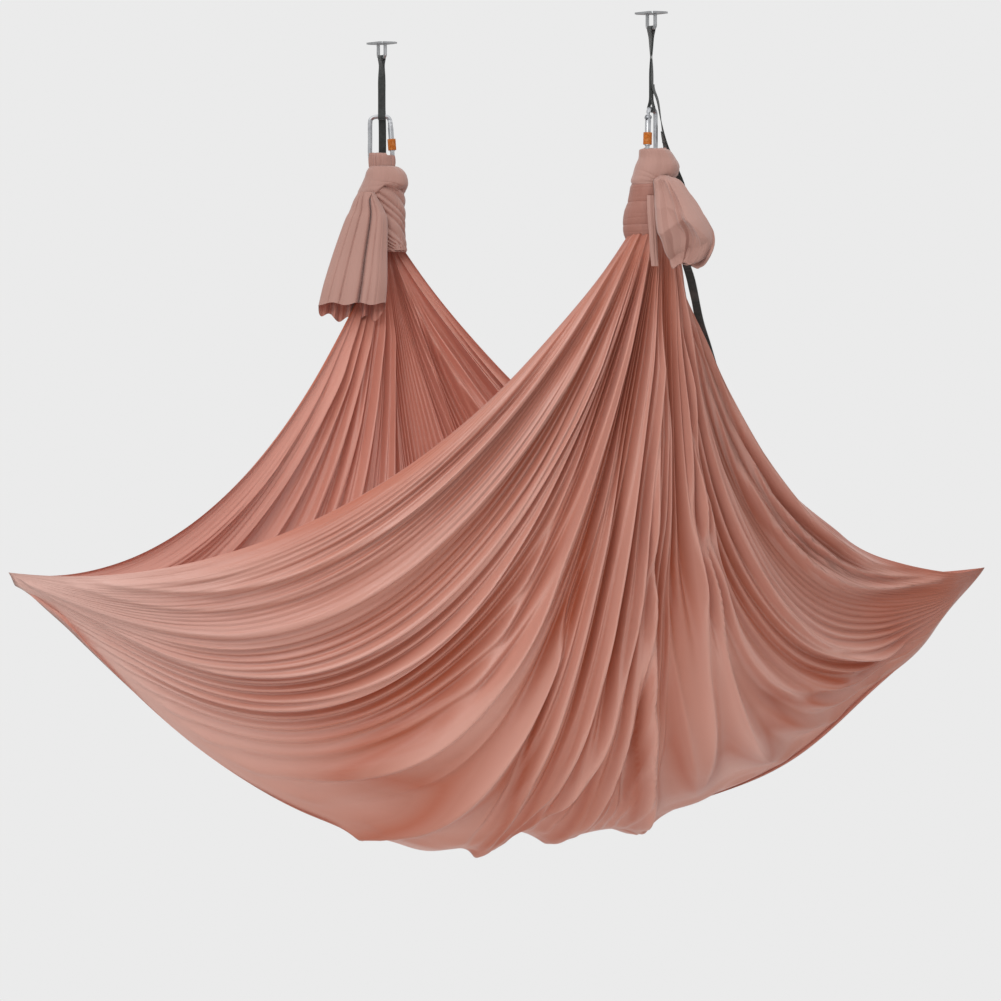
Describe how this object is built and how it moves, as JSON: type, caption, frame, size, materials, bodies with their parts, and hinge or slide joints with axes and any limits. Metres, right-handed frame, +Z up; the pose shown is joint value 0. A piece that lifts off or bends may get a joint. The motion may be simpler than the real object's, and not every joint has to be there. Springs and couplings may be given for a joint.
{
  "type": "aerial yoga hammock",
  "caption": "Wide cloth hammock gathered and knotted onto screw-lock carabiners, which hang by daisy-chain webbing straps from ceiling plates.",
  "frame": {"origin": "middle of the left ceiling plate's top face, which lies on the ceiling", "axes": "+Z up, +X along the hammock from the left tip to the right tip, the right ceiling plate lies towards -Y"},
  "size_m": [2.4776, 1.4067, 1.807],
  "materials": {
    "cloth": "satin knit",
    "webbing": "woven matte",
    "alloy": "polished",
    "sleeve": "anodised satin",
    "plate_steel": "zinc plated"
  },
  "bodies": {
    "ceiling": {"left_ceiling_plate": "plate_steel", "left_ceiling_eye": "plate_steel", "right_ceiling_plate": "plate_steel", "right_ceiling_eye": "plate_steel"},
    "hammock": {"hammock_cloth": "cloth", "left_tail": "cloth", "right_tail": "cloth", "left_strap_loop": "webbing", "left_strap_tail": "webbing", "left_strap_pockets": "webbing", "left_carabiner_frame": "alloy", "left_gate_rivet": "alloy", "left_knot_collar": "cloth", "left_knot_neck": "cloth", "left_knot_upper_wrap": "cloth", "left_knot_lower_wrap": "cloth", "right_strap_loop": "webbing", "right_strap_tail": "webbing", "right_strap_pockets": "webbing", "right_carabiner_frame": "alloy", "right_gate_rivet": "alloy", "right_knot_collar": "cloth", "right_knot_neck": "cloth", "right_knot_upper_wrap": "cloth", "right_knot_lower_wrap": "cloth"},
    "left_gate": {"left_carabiner_gate": "alloy", "left_gate_spring": "alloy", "left_gate_plunger": "alloy"},
    "right_gate": {"right_carabiner_gate": "alloy", "right_gate_spring": "alloy", "right_gate_plunger": "alloy"},
    "left_sleeve": {"left_screw_sleeve": "sleeve"},
    "right_sleeve": {"right_screw_sleeve": "sleeve"}
  },
  "joints": [
    {"name": "hammock_swing", "type": "hinge", "parent": "ceiling", "child": "hammock", "pos_m": [0, 0, -0.035], "axis": [0, 1, 0], "range_deg": [-45, 45]},
    {"name": "left_gate_hinge", "type": "hinge", "parent": "hammock", "child": "left_gate", "pos_m": [0.01689, -0.00975, -0.187], "axis": [0.5, 0.866, 0], "range_deg": [0, 24], "stiffness_Nm_per_rad": 0.4, "springref_deg": -17.19},
    {"name": "right_gate_hinge", "type": "hinge", "parent": "hammock", "child": "right_gate", "pos_m": [-0.01515, -1.19327, -0.225], "axis": [0.6293, -0.7771, 0], "range_deg": [0, 24], "stiffness_Nm_per_rad": 0.4, "springref_deg": -17.19},
    {"name": "left_sleeve_slide", "type": "slide", "parent": "left_gate", "child": "left_sleeve", "axis": [0.0642, -0.0371, -0.9972], "range_m": [0, 0.008]},
    {"name": "right_sleeve_slide", "type": "slide", "parent": "right_gate", "child": "right_sleeve", "axis": [-0.0576, -0.0467, -0.9972], "range_m": [0, 0.008]}
  ]
}
